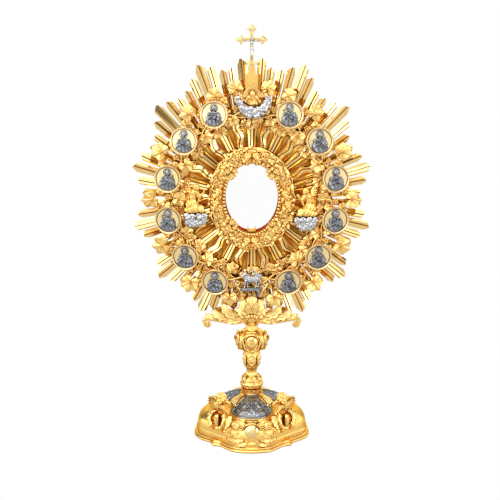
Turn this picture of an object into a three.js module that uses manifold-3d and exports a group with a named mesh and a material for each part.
// A standing exposition monstrance: lobed foot, knopped stem, leaf bracket, and a sunburst
// glory around an oval glazed host chamber with a hinged rear door.
// Millimetres, +Z up, front towards -Y, origin at the bottom centre of the foot.
import * as THREE from 'three';
import { mergeVertices } from 'three/addons/utils/BufferGeometryUtils.js';
import Module from 'manifold-3d';

const wasm = await Module();
wasm.setup();

// ---------- driving dimensions ----------
const GAP = 0.3;                    // clearance left between touching pieces

const FOOT_LOBE_RADIUS = 111.3;     // rim radius at the middle of each lobe
const FOOT_WAIST_RADIUS = 98;       // rim radius beside each cusp
const FOOT_CUSP = 7;                // how far the corner cusp stands out
const RIM_TOP = 10.3;
const DOME_TOP = 82.2;
const SHELL_WALL = 2;
const FOOT_STEPS = 40;

const ROD_RADIUS = 4;
const BORE_RADIUS = 4.4;
const STEM_STEPS = 16;
const OVAL_STEPS = 28;

const BRACKET_BOTTOM = 225;
const BOSS_TOP = 236;

const GLORY_CENTRE = 462;           // height of the host chamber's centre
const CASE_A = 50;                  // inner half width of the host chamber
const CASE_B = 66;                  // inner half height
const CASE_WALL = 2;
const CASE_FRONT = 14;
const CASE_BACK = -28;
const PLATE_HALF = 2;
const GROUPS = 14;                  // ray groups round the glory
const RAYS_PER_GROUP = 5;
const RAY_A = 226;                  // reach of the longest rays, sideways
const RAY_B_UP = 272;
const RAY_B_DOWN = 242;
const RAY_SHARE = [0.90, 0.945, 1.0, 0.95, 0.90];
const WREATH_A = 158;               // ellipse through the medallion centres
const WREATH_B = 172;
const MEDALLION_RADIUS = 25.5;
const MEDALLION_TILT = THREE.MathUtils.degToRad(13);

const HINGE_X = 57.5;
const HINGE_DEPTH = -30.2;
const LATCH_X = -59.5;

// ---------- solids and meshes ----------
function solidOf(geometry) {
  const bare = geometry.clone();
  for (const name of Object.keys(bare.attributes)) {
    if (name !== 'position') {
      bare.deleteAttribute(name);
    }
  }
  const merged = mergeVertices(bare, 1e-4);
  const at = merged.getAttribute('position').array;
  const corners = [];
  let volume = 0;
  const a = new THREE.Vector3();
  const b = new THREE.Vector3();
  const c = new THREE.Vector3();
  for (let i = 0; i < merged.index.count; i += 3) {
    const [p, q, r] = [0, 1, 2].map((k) => merged.index.getX(i + k));
    if (p === q || q === r || r === p) {
      continue;
    }
    corners.push(p, q, r);
    volume += a.fromArray(at, 3 * p).dot(b.fromArray(at, 3 * q).cross(c.fromArray(at, 3 * r)));
  }
  if (volume < 0) {
    for (let i = 0; i < corners.length; i += 3) {
      [corners[i], corners[i + 1]] = [corners[i + 1], corners[i]];
    }
  }
  return new wasm.Manifold(new wasm.Mesh({
    numProp: 3,
    vertProperties: Float32Array.from(at),
    triVerts: Uint32Array.from(corners),
  }));
}

function join(...geometries) {
  return geometries.map(solidOf).reduce((sum, next) => sum.add(next));
}

function geometryOf(solid) {
  const { vertProperties, triVerts } = solid.getMesh();
  const geometry = new THREE.BufferGeometry();
  geometry.setAttribute('position', new THREE.BufferAttribute(Float32Array.from(vertProperties), 3));
  geometry.setIndex(new THREE.BufferAttribute(Uint32Array.from(triVerts), 1));
  geometry.computeVertexNormals();
  return geometry;
}

const FINISHES = {
  polished_gold: { color: 0xf2b548, roughness: 0.18, metalness: 1 },
  satin_gold: { color: 0xd9a04a, roughness: 0.42, metalness: 1 },
  silver: { color: 0xd8d8d6, roughness: 0.3, metalness: 1 },
  dark_silver: { color: 0x85858a, roughness: 0.4, metalness: 1 },
  brass_fittings: { color: 0xc79a45, roughness: 0.35, metalness: 1 },
  clear_glass: { color: 0xffffff, roughness: 0.03, metalness: 0, transparent: true, opacity: 0.2 },
};

const monstrance = new THREE.Group();
const glory = new THREE.Group();    // its x is right, y is up and z comes towards the viewer
glory.rotation.x = Math.PI / 2;
glory.position.z = GLORY_CENTRE;
monstrance.add(glory);

function addPart(parent, name, finish, shape) {
  const geometry = shape.isBufferGeometry ? geometryOf(solidOf(shape)) : geometryOf(shape);
  const mesh = new THREE.Mesh(geometry, new THREE.MeshStandardMaterial(FINISHES[finish]));
  mesh.name = name;
  parent.add(mesh);
  return mesh;
}

// ---------- shape helpers ----------
function turned(profile, steps = STEM_STEPS) {
  const points = profile.map(([r, z]) => new THREE.Vector2(r, z));
  return new THREE.LatheGeometry(points, steps).rotateX(Math.PI / 2);
}

function turnedRing(profile, steps = STEM_STEPS) {
  return turned([...profile, profile[0]], steps);
}

function reshape(geometry, move) {
  const position = geometry.getAttribute('position');
  for (let i = 0; i < position.count; i += 1) {
    const [x, y, z] = move(position.getX(i), position.getY(i), position.getZ(i));
    position.setXYZ(i, x, y, z);
  }
  return geometry;
}

// A closed section of [offset from the ellipse, height] pairs carried round the ellipse (a, b).
function ovalRing(a, b, section, steps = OVAL_STEPS) {
  const far = 200;
  const ring = turnedRing(section.map(([offset, z]) => [far + offset, z]), steps);
  return reshape(ring, (x, y, z) => {
    const offset = Math.hypot(x, y) - far;
    const angle = Math.atan2(y, x);
    return [(a + offset) * Math.cos(angle), (b + offset) * Math.sin(angle), z];
  });
}

function ovalDisc(a, b, low, high, steps = OVAL_STEPS) {
  return turned([[0, low], [1, low], [1, high], [0, high]], steps).scale(a, b, 1);
}

function plate(points, low, high, holes = []) {
  const shape = new THREE.Shape(points.map(([x, y]) => new THREE.Vector2(x, y)));
  shape.holes = holes;
  const options = { depth: high - low, bevelEnabled: false, curveSegments: 16 };
  return new THREE.ExtrudeGeometry(shape, options).translate(0, 0, low);
}

function mirrored(half) {
  return [...half, ...half.slice().reverse().map(([x, y]) => [-x, y])];
}

function box(x0, x1, y0, y1, z0, z1) {
  const geometry = new THREE.BoxGeometry(x1 - x0, y1 - y0, z1 - z0);
  return geometry.translate((x0 + x1) / 2, (y0 + y1) / 2, (z0 + z1) / 2);
}

function ball(x, y, z, rx, ry = rx, rz = rx) {
  return new THREE.SphereGeometry(1, 6, 4).scale(rx, ry, rz).translate(x, y, z);
}

function rod(radius, low, high, steps = 12) {
  return turned([[0, low], [radius, low], [radius, high], [0, high]], steps);
}

// A four-sided spike from root to tip, widest at its shoulder.
function spike(root, tip, halfWidth, low, high, shoulder = 0.88) {
  const length = Math.hypot(tip[0] - root[0], tip[1] - root[1]);
  const profile = [[0, 0], [1, shoulder * length], [0, length]];
  const points = profile.map(([x, y]) => new THREE.Vector2(x, y));
  return new THREE.LatheGeometry(points, 4)
    .scale(halfWidth, 1, (high - low) / 2)
    .rotateZ(-Math.atan2(tip[0] - root[0], tip[1] - root[1]))
    .translate(root[0], root[1], (low + high) / 2);
}

function onOval(a, b, turn) {
  return [a * Math.sin(turn), b * Math.cos(turn)];
}

// ---------- foot ----------
function smoothStep(value, from, to) {
  return THREE.MathUtils.smoothstep(value, from, to);
}

// Rim radius over the lobe radius, at an angle from the nearest lobe's middle.
function lobeShare(angle, cusp) {
  const quarter = Math.PI / 2;
  const off = Math.abs(angle - quarter * Math.round(angle / quarter));
  const degrees = THREE.MathUtils.radToDeg(off);
  const dip = (FOOT_WAIST_RADIUS - FOOT_LOBE_RADIUS) * smoothStep(degrees, 12, 40);
  const point = cusp * FOOT_CUSP * Math.max(0, 1 - (45 - degrees) / 5);
  return (FOOT_LOBE_RADIUS + dip + point) / FOOT_LOBE_RADIUS;
}

function lobed(geometry, cusp, roundBelow = 0) {
  return reshape(geometry, (x, y, z) => {
    const radius = Math.hypot(x, y);
    const weight = smoothStep(radius, roundBelow, roundBelow + 45);
    const share = 1 + weight * (lobeShare(Math.atan2(y, x), cusp) - 1);
    return [x * share, y * share, z];
  });
}

// Outer line of the foot's dome at the middle of a lobe, from the rim to the stem.
const DOME_LINE = [
  [105, 10.6], [105, 24], [100, 35.5], [82, 54], [68, 64.5], [50, 74.5], [20, DOME_TOP],
];

function domeSolid(lift) {
  const outer = DOME_LINE.map(([r, z]) => [r + lift, z + (z > 12 ? lift : -lift)]);
  return lobed(turned([[0, outer[0][1]], ...outer, [0, DOME_TOP + lift]], FOOT_STEPS), 0, 20);
}

function footShell() {
  const inner = DOME_LINE.map(([r, z], i) => [r - SHELL_WALL, i === 0 ? z : z - SHELL_WALL * 0.9]);
  const top = [[BORE_RADIUS, DOME_TOP], [BORE_RADIUS, DOME_TOP - SHELL_WALL]];
  return lobed(turnedRing([...DOME_LINE, ...top, ...inner.reverse()], FOOT_STEPS), 0, 20);
}

function footRim() {
  const section = [[96, 0], [111.3, 0], [111.3, 4], [109.5, 8.6], [106.5, RIM_TOP], [96, RIM_TOP]];
  return lobed(turnedRing(section, FOOT_STEPS), 1);
}

// A curved panel laid over the front of the dome, spreading from its upper to its lower edge.
function domePanel(inner, outer, upperSpread, lowerSpread, high) {
  const panel = new THREE.BoxGeometry(2, 1, 1, 6, 5, 1);
  return reshape(panel, (x, y, z) => {
    const down = 0.5 - y;
    const rho = inner + (outer - inner) * down;
    const angle = x * (upperSpread + (lowerSpread - upperSpread) * smoothStep(down, 0.4, 0.85));
    const share = 1 + smoothStep(rho, 20, 65) * (lobeShare(angle, 0) - 1);
    const height = domeHeight(rho) + (z > 0 ? high : -SHELL_WALL);
    return [rho * share * Math.sin(angle), -rho * share * Math.cos(angle), height];
  });
}

function domeHeight(rho) {
  for (let i = 1; i < DOME_LINE.length; i += 1) {
    const [r0, z0] = DOME_LINE[i - 1];
    const [r1, z1] = DOME_LINE[i];
    if (rho >= r1 && rho <= r0 && r0 > r1) {
      return z0 + (z1 - z0) * (r0 - rho) / (r0 - r1);
    }
  }
  return DOME_TOP;
}

function overDome(shape) {
  return shape.subtract(solidOf(domeSolid(0.4)));
}

function cartouche() {
  const shield = ball(0, -98, 37, 17, 13, 16);
  const leaves = [-1, 1].map((side) => ball(side * 27, -93, 35, 24, 15, 13));
  const cornice = box(-24, 24, -89, -78.5, 44, 55);
  const rimRoom = solidOf(box(-200, 200, -200, 200, -10, 11));
  return overDome(join(shield, ...leaves, cornice)).subtract(rimRoom);
}

function ribFrame() {
  const ring = solidOf(turnedRing([[8, 82.7], [21.5, 82.7], [21.5, 84.3], [8, 84.3]]));
  let frame = ring;
  for (let corner = 0; corner < 4; corner += 1) {
    const line = [[17, 80], [17, 84.2], [22, 84.2], [40, 79], [56, 71.5], [56, 55]];
    const rib = plate(line, -3.5, 3.5).rotateX(Math.PI / 2).rotateZ(Math.PI / 4 + corner * Math.PI / 2);
    frame = frame.add(overDome(solidOf(rib)));
  }
  return frame;
}

const SCROLL_HALF_WIDTH = 11;
const SCROLL_FOOT = [[84, 29], [92, 29], [95, 35]];

// A casting for the corner at +X: an upright scroll of the given outline and what it carries.
function cornerCasting(scroll, ...carried) {
  const bracket = plate(scroll, -SCROLL_HALF_WIDTH, SCROLL_HALF_WIDTH).rotateX(Math.PI / 2);
  const core = solidOf(domeSolid(0.4).rotateZ(Math.PI / 4));
  return join(bracket, ...carried).subtract(core);
}

// Front corners: a winged head above the scroll.
function cherubCorner() {
  const scroll = [...SCROLL_FOOT, [94, 46], [91, 64], [87, 78], [74, 82], [62, 70], [60, 60]];
  const head = ball(77, 0, 87, 11, 11, 11.5);
  const wings = [-1, 1].map((side) => ball(79, side * 16, 74, 7, 13, 12));
  return cornerCasting(scroll, head, ...wings);
}

// Back corners: the scroll alone, rolled in at its top.
function scrollCorner() {
  return cornerCasting([...SCROLL_FOOT, [94, 43], [90, 51], [82, 57], [72, 60], [62, 62], [60, 56]]);
}

function addFoot() {
  addPart(monstrance, 'foot_rim', 'satin_gold', footRim());
  addPart(monstrance, 'foot_shell', 'satin_gold', footShell());
  const sides = ['front', 'right', 'back', 'left'];
  const panel = overDome(solidOf(domePanel(23.5, 80, 0.46, 0.61, 1.8)));
  sides.forEach((side, i) => {
    const mesh = addPart(monstrance, `relief_plaque_${side}`, 'dark_silver', panel);
    mesh.rotation.z = i * Math.PI / 2;
  });
  addPart(monstrance, 'rib_frame', 'polished_gold', ribFrame());
  const cherub = cherubCorner();
  const scroll = scrollCorner();
  const corners = [
    ['cherub_front_right', cherub], ['scroll_back_right', scroll],
    ['scroll_back_left', scroll], ['cherub_front_left', cherub],
  ];
  corners.forEach(([name, casting], i) => {
    const mesh = addPart(monstrance, name, 'polished_gold', casting);
    mesh.rotation.z = -Math.PI / 4 + i * Math.PI / 2;
  });
  const apron = cartouche();
  addPart(monstrance, 'cartouche_front', 'polished_gold', apron);
  addPart(monstrance, 'cartouche_back', 'polished_gold', apron).rotation.z = Math.PI;
}

// ---------- stem ----------
function addTurning(name, finish, profile, lobes = 0) {
  const bottom = profile[0][1];
  const top = profile[profile.length - 1][1];
  const geometry = turnedRing([[BORE_RADIUS, bottom], ...profile, [BORE_RADIUS, top]]);
  if (lobes > 0) {
    reshape(geometry, (x, y, z) => {
      const swell = Math.hypot(x, y) < BORE_RADIUS + 1 ? 1 : 1 + lobes * Math.cos(4 * Math.atan2(y, x));
      return [x * swell, y * swell, z];
    });
  }
  addPart(monstrance, name, finish, geometry);
}

function addStem() {
  addPart(monstrance, 'tie_rod', 'brass_fittings', rod(ROD_RADIUS, 66, 226.5));
  const nut = new THREE.Shape();
  nut.absarc(0, 0, 13, 0, 2 * Math.PI);
  const bore = new THREE.Path();
  bore.absarc(0, 0, BORE_RADIUS, 0, 2 * Math.PI);
  nut.holes.push(bore);
  const nutBody = new THREE.ExtrudeGeometry(nut, { depth: 7.5, bevelEnabled: false, curveSegments: 6 });
  addPart(monstrance, 'base_nut', 'brass_fittings', nutBody.translate(0, 0, 72));
  addTurning('gallery_collar', 'polished_gold', [
    [20.3, 84.6], [20.3, 86.2], [18.6, 87], [18.6, 89.8], [20, 91.6],
  ]);
  addTurning('lower_knop', 'polished_gold', [
    [17.8, 91.9], [21.7, 100.2], [20.6, 106], [16.3, 114.6], [11, 119],
  ]);
  addTurning('stem_neck', 'polished_gold', [[10.6, 119.3], [9.8, 124], [11.3, 131.8]]);
  addTurning('stem_vase', 'polished_gold', [
    [11.3, 132.1], [15.4, 140], [17.4, 148.5], [16.6, 158], [15.7, 166.4],
  ]);
  addTurning('stem_node', 'polished_gold', [
    [16.5, 166.7], [24, 170], [27.5, 174], [31.5, 190.3], [27, 200], [19, 207],
  ], 0.05);
  addTurning('stem_upper_neck', 'polished_gold', [
    [13.4, 207.3], [11.2, 217], [14.9, BRACKET_BOTTOM - GAP],
  ]);
}

// ---------- leaf bracket between stem and glory ----------
function addBracket() {
  const boss = turned([
    [0, BRACKET_BOTTOM], [15, BRACKET_BOTTOM], [17, 231], [15.5, BOSS_TOP], [0, BOSS_TOP],
  ]);
  const arm = [
    [10, 226.5], [26, 223], [38, 221.5], [52, 224.6], [78, 225.2], [91, 228.5], [87, 233.6], [60, 235.4],
    [10, 235.4],
  ];
  const upturned = [
    [30, 224.5], [60, 226], [80, 231], [76, 246], [66, 237], [60, 242], [50, 257.5], [44, 243], [30, 236],
  ];
  const upright = (geometry) => geometry.rotateX(Math.PI / 2);
  const flip = (points, side) => points.map(([x, z]) => [side * x, z]);
  const arms = [-1, 1].flatMap((side) => [
    upright(plate(flip(arm, side), -7, 7)),
    upright(plate(flip(upturned, side), 10.4, 16)),
    upright(plate(flip([[33, 226], [66, 228], [66, 234.5], [33, 234.5]], side), 5, 12)),
    upright(rod(7, -6, 6)).translate(side * 80, 0, 220),
  ]);
  const socket = join(rod(BORE_RADIUS, BRACKET_BOTTOM - 1, 226.8), box(-9.3, 9.3, -2.3, 2.3, 228, 240));
  addPart(monstrance, 'leaf_bracket', 'polished_gold', join(boss, ...arms).subtract(socket));

  const leaf = mirrored([
    [0, 283], [5, 277], [12, 279], [14, 270], [22, 270], [18, 258], [22, 250], [14, 240], [8, 229],
  ]);
  const bossRoom = rod(17.5, BRACKET_BOTTOM - 1, BOSS_TOP + GAP, STEM_STEPS);
  const palmette = join(upright(plate(leaf, 10.4, 16)), ball(0, -16, 236, 8, 5, 7));
  addPart(monstrance, 'palmette_leaf', 'satin_gold', palmette.subtract(solidOf(bossRoom)));
}

// ---------- glory ----------
function ovalPath(a, b) {
  const path = new THREE.Path();
  path.absellipse(0, 0, a, b, 0, 2 * Math.PI);
  return path;
}

function ovalPlate(outerA, outerB, innerA, innerB, low, high, segments = OVAL_STEPS) {
  const shape = new THREE.Shape();
  shape.absellipse(0, 0, outerA, outerB, 0, 2 * Math.PI);
  shape.holes.push(ovalPath(innerA, innerB));
  const options = { depth: high - low, bevelEnabled: false, curveSegments: segments };
  return new THREE.ExtrudeGeometry(shape, options).translate(0, 0, low);
}

const HOLE_A = CASE_A + CASE_WALL + GAP;
const HOLE_B = CASE_B + CASE_WALL + GAP;

function addPlate() {
  const disc = ovalPlate(130, 140, HOLE_A, HOLE_B, -PLATE_HALF, PLATE_HALF);
  const tongue = box(-9, 9, 228.3 - GLORY_CENTRE, -135, -PLATE_HALF, PLATE_HALF);
  addPart(glory, 'glory_plate', 'satin_gold', join(disc, tongue));
}

function rayTip(index) {
  const turn = index * 2 * Math.PI / (GROUPS * RAYS_PER_GROUP);
  const share = RAY_SHARE[(index + 2) % RAYS_PER_GROUP];
  const [x, y] = onOval(RAY_A * share, share * (Math.cos(turn) > 0 ? RAY_B_UP : RAY_B_DOWN), turn);
  const lowest = BOSS_TOP + 1 - GLORY_CENTRE;
  const trim = y < lowest ? lowest / y : 1;
  return [x * trim, y * trim];
}

function raySector(first, last) {
  const step = 2 * Math.PI / (GROUPS * RAYS_PER_GROUP);
  const edge = 0.002;
  const from = (first - 0.5) * step + edge;
  const to = (last + 0.5) * step - edge;
  const band = [];
  const count = 16;
  for (let i = 0; i <= count; i += 1) {
    band.push(onOval(129, 139, from + (to - from) * i / count));
  }
  for (let i = count; i >= 0; i -= 1) {
    band.push(onOval(119.5, 131.5, from + (to - from) * i / count));
  }
  let sector = solidOf(plate(band, PLATE_HALF + GAP, 6));
  for (let index = first; index <= last; index += 1) {
    const root = onOval(121, 133, index * step);
    const middle = index % RAYS_PER_GROUP === 0;
    sector = sector.add(solidOf(spike(root, rayTip(index), middle ? 7.5 : 5.4, PLATE_HALF + GAP, 9.7)));
  }
  return sector;
}

function addRays() {
  addPart(glory, 'ray_burst_upper_right', 'polished_gold', raySector(1, 17));
  addPart(glory, 'ray_burst_lower_right', 'polished_gold', raySector(18, 35));
  addPart(glory, 'ray_burst_lower_left', 'polished_gold', raySector(36, 52));
  addPart(glory, 'ray_burst_upper_left', 'polished_gold', raySector(53, 69));

  let inner = solidOf(ovalPlate(112, 124, HOLE_A, HOLE_B, 6.3, 8));
  const count = 2 * GROUPS;
  for (let i = 0; i < count; i += 1) {
    const turn = (i + 0.5) * 2 * Math.PI / count;
    inner = inner.add(solidOf(spike(onOval(78, 91, turn), onOval(118, 130, turn), 4.6, 6.5, 11.5, 0.6)));
  }
  addPart(glory, 'inner_rays', 'polished_gold', inner);
}

function vineLeaf(x, y, turn, size) {
  const outline = [];
  const points = 8;
  for (let i = 0; i < points; i += 1) {
    const angle = i * 2 * Math.PI / points + turn;
    const reach = size * (i % 2 === 0 ? 1 : 0.68);
    outline.push([x + reach * Math.cos(angle), y + reach * Math.sin(angle)]);
  }
  return plate(outline, 12.4, 16.2);
}

function addVine() {
  let vine = solidOf(ovalPlate(149, 160, 127, 138, 12.4, 16.2));
  for (let i = 0; i < GROUPS; i += 1) {
    const turn = (i + 0.5) * 2 * Math.PI / GROUPS;
    vine = vine.add(solidOf(vineLeaf(...onOval(154, 168, turn), turn, 17)));
  }
  addPart(glory, 'vine_wreath', 'satin_gold', vine);
}

function medallion() {
  const dish = turned([
    [0, 0], [MEDALLION_RADIUS, 0], [MEDALLION_RADIUS, 4.4], [22, 2.6], [0, 2.6],
  ], 14);
  const bust = [ball(0, 6.5, 5, 5, 6, 4.4), ball(0, -8, 3, 12, 11, 4.6)];
  return join(dish, rod(6, -7, 1, 6), ...bust);
}

function addMedallions() {
  const casting = medallion();
  let number = 0;
  for (let group = 1; group < GROUPS; group += 1) {
    if (group === GROUPS / 2) {
      continue;
    }
    number += 1;
    const turn = group * 2 * Math.PI / GROUPS;
    const [x, y] = onOval(WREATH_A, WREATH_B, turn);
    const outward = new THREE.Vector3(x, y, 0).normalize();
    const axis = new THREE.Vector3(-outward.y, outward.x, 0);
    const name = `medallion_${String(number).padStart(2, '0')}`;
    const mesh = addPart(glory, name, 'dark_silver', casting);
    mesh.position.set(x, y, 26);
    mesh.quaternion.setFromAxisAngle(axis, MEDALLION_TILT);
  }
}

// ---------- figures on the glory ----------
function addCherubWreath() {
  let wreath = solidOf(ovalRing(66, 81, [[-11, 12.4], [12, 12.4], [2, 19.5]], 24));
  for (let quarter = 0; quarter < 4; quarter += 1) {
    for (const offset of [-0.13, 0.13, Math.PI / 4]) {
      const [x, y] = onOval(66, 80, quarter * Math.PI / 2 + offset);
      wreath = wreath.add(solidOf(ball(x, y, 20, 7, 8, 6)));
    }
  }
  const room = solidOf(ovalDisc(HOLE_A, HOLE_B, 0, 40));
  addPart(glory, 'cherub_wreath', 'polished_gold', wreath.subtract(room));
}

function addAngels() {
  for (const [word, side, drop] of [['left', -1, 0], ['right', 1, -7]]) {
    const x = side * 104;
    const body = ball(x, -8 + drop, 22, 13, 18, 8);
    const knees = ball(x - side * 6, -20 + drop, 23, 16, 7, 8);
    const head = ball(x - side * 4, 13 + drop, 23, 5.5, 7, 5.5);
    const wings = [ball(x + side * 7, 6 + drop, 18, 8, 19, 5), ball(x - side * 9, 2 + drop, 19, 7, 11, 5)];
    addPart(glory, `angel_${word}`, 'polished_gold', join(body, knees, head, ...wings));
    const puffs = [[-13, 0, 8.5], [0, -3, 11], [12, 1, 9]].map(([dx, dy, size]) => (
      ball(x + dx, -40 + drop + dy, 24, size + 2, size, 7)));
    const perch = solidOf(box(x - 30, x + 30, -28.2 + drop, 0, 0, 40));
    addPart(glory, `angel_cloud_${word}`, 'silver', join(...puffs).subtract(perch));
  }
}

function addCrest() {
  const crescent = new THREE.Shape();
  crescent.absarc(0, 187, 36, Math.PI, 2 * Math.PI, false);
  crescent.absarc(0, 189, 19, 2 * Math.PI, Math.PI, true);
  const options = { depth: 10, bevelEnabled: false, curveSegments: 12 };
  const cloud = new THREE.ExtrudeGeometry(crescent, options).translate(0, 0, 17.6);
  addPart(glory, 'cloud_crescent', 'silver', cloud);

  const robe = ball(0, 184, 23, 12, 12, 5);
  const head = ball(0, 196, 24, 5, 5.5, 5);
  const nimbus = plate([[-9, 190], [9, 190], [0, 204]], 18, 20.5);
  addPart(glory, 'eternal_father', 'polished_gold', join(robe, head, nimbus));

  const stand = mirrored([[8, 242.5], [9, 234], [12.5, 228], [11, 188]]);
  addPart(glory, 'cross_stand', 'polished_gold', plate(stand, 10, 13));

  const shaft = box(-4, 4, 243, 312, 6, 12);
  const arms = box(-24, 24, 284, 292.6, 6, 12);
  const buds = [[0, 313], [-25, 288.3], [25, 288.3]].map(([x, y]) => ball(x, y, 9, 5, 5, 3.2));
  const curls = [-7.5, 7.5].map((x) => ball(x, 247, 9, 4.5, 4, 3));
  addPart(glory, 'crucifix_cross', 'polished_gold', join(shaft, arms, ...buds, ...curls));

  const torso = ball(0, 272, 15, 4.5, 12, 2.6);
  const legs = ball(0, 260, 15, 3, 10, 2.6);
  const face = ball(0, 286, 15.4, 3, 3.6, 3);
  const reach = box(-18, 18, 283, 286, 12.6, 15.6);
  addPart(glory, 'corpus', 'silver', join(torso, legs, face, reach));
}

function addLamb() {
  const book = box(-20, 20, -177, -167, 17.6, 31);
  const body = ball(-2, -156, 25, 15, 9, 6);
  const head = ball(12, -149, 25, 7, 6, 5);
  const legs = [-10, 6].map((x) => box(x - 2.5, x + 2.5, -168, -156, 23, 27));
  const staff = box(-1, 1, -168, -134, 22.5, 25);
  const banner = box(-14, 0, -144, -135, 23, 24.5);
  addPart(glory, 'lamb', 'silver', join(book, body, head, ...legs, staff, banner));
}

// ---------- host chamber, rear door and latch ----------
function knuckle(radius, bore, low, high) {
  const tube = turnedRing([[bore, low], [radius, low], [radius, high], [bore, high]], 16);
  return tube.rotateX(-Math.PI / 2).translate(HINGE_X, 0, HINGE_DEPTH);
}

function addCase() {
  const lip = CASE_FRONT - 1.8;
  const wall = ovalRing(CASE_A, CASE_B, [
    [0, CASE_BACK], [CASE_WALL, CASE_BACK], [CASE_WALL, CASE_FRONT], [-2, CASE_FRONT], [-2, lip], [0, lip],
  ]);
  const ears = [-1, 1].flatMap((side) => {
    const [low, high] = side < 0 ? [-12, -5.8] : [5.8, 12];
    return [
      box(51, 60, low, high, -27.5, -22),
      box(58.9, 60, low, high, -30, -24),
      knuckle(2.5, 1.55, low, high),
    ];
  });
  const lug = box(-63, -51, -5, 5, -27.5, -22);
  const post = rod(1.3, -35.7, -25, 12).translate(LATCH_X, 0, 0);
  const bore = rod(1.55, -13, 13, 16).rotateX(-Math.PI / 2).translate(HINGE_X, 0, HINGE_DEPTH);
  const chamber = ovalDisc(CASE_A, CASE_B, CASE_BACK - 5, lip - 1);
  const body = join(wall, ...ears, lug, post).subtract(solidOf(bore)).subtract(solidOf(chamber));
  addPart(glory, 'host_case', 'polished_gold', body);
  addPart(glory, 'front_glass', 'clear_glass', ovalDisc(CASE_A - GAP, CASE_B - GAP, lip - 2.5, lip - GAP));
  const cheeks = [[-8, -6], [6, 8]].map(([x0, x1]) => box(x0, x1, -63, -58, -22, 4));
  const rail = join(box(-8, 8, -64.6, -62.6, -22, 4), ...cheeks);
  addPart(glory, 'lunette_rail', 'brass_fittings', rail);
}

function addDoor() {
  const front = CASE_BACK - 0.5;
  const back = front - 3.5;
  const ring = ovalRing(CASE_A, CASE_B, [[0, back], [3.5, back], [4, front - 1], [3, front], [0, front]]);
  const leaf = box(51, 55.8, -5.2, 5.2, back + 0.6, front - 0.6);
  const knob = ball(-49.4, -22, back - 1, 2.6);
  const glassRoom = ovalDisc(CASE_A, CASE_B, back - 5, front + 5);
  const frame = join(ring, leaf, knuckle(2.5, 1.55, -5.5, 5.5), knob);
  addPart(glory, 'door_frame', 'polished_gold', frame.subtract(solidOf(glassRoom)));
  const glass = ovalDisc(CASE_A - GAP, CASE_B - GAP, back + 0.7, front - 0.7);
  addPart(glory, 'door_glass', 'clear_glass', glass);
  const pin = rod(1.4, -13, 13, 16).rotateX(-Math.PI / 2).translate(HINGE_X, 0, HINGE_DEPTH);
  addPart(glory, 'hinge_pin', 'brass_fittings', pin);

  const lever = join(rod(3.4, -37, -32.6, 12), box(-2, 2, 0, 13, -36, -32.6));
  const blind = solidOf(rod(1.5, -36, -32, 12));
  const button = addPart(glory, 'latch_button', 'brass_fittings', lever.subtract(blind));
  button.position.x = LATCH_X;
}

addFoot();
addStem();
addBracket();
addPlate();
addRays();
addVine();
addMedallions();
addCherubWreath();
addAngels();
addCrest();
addLamb();
addCase();
addDoor();

export default monstrance;
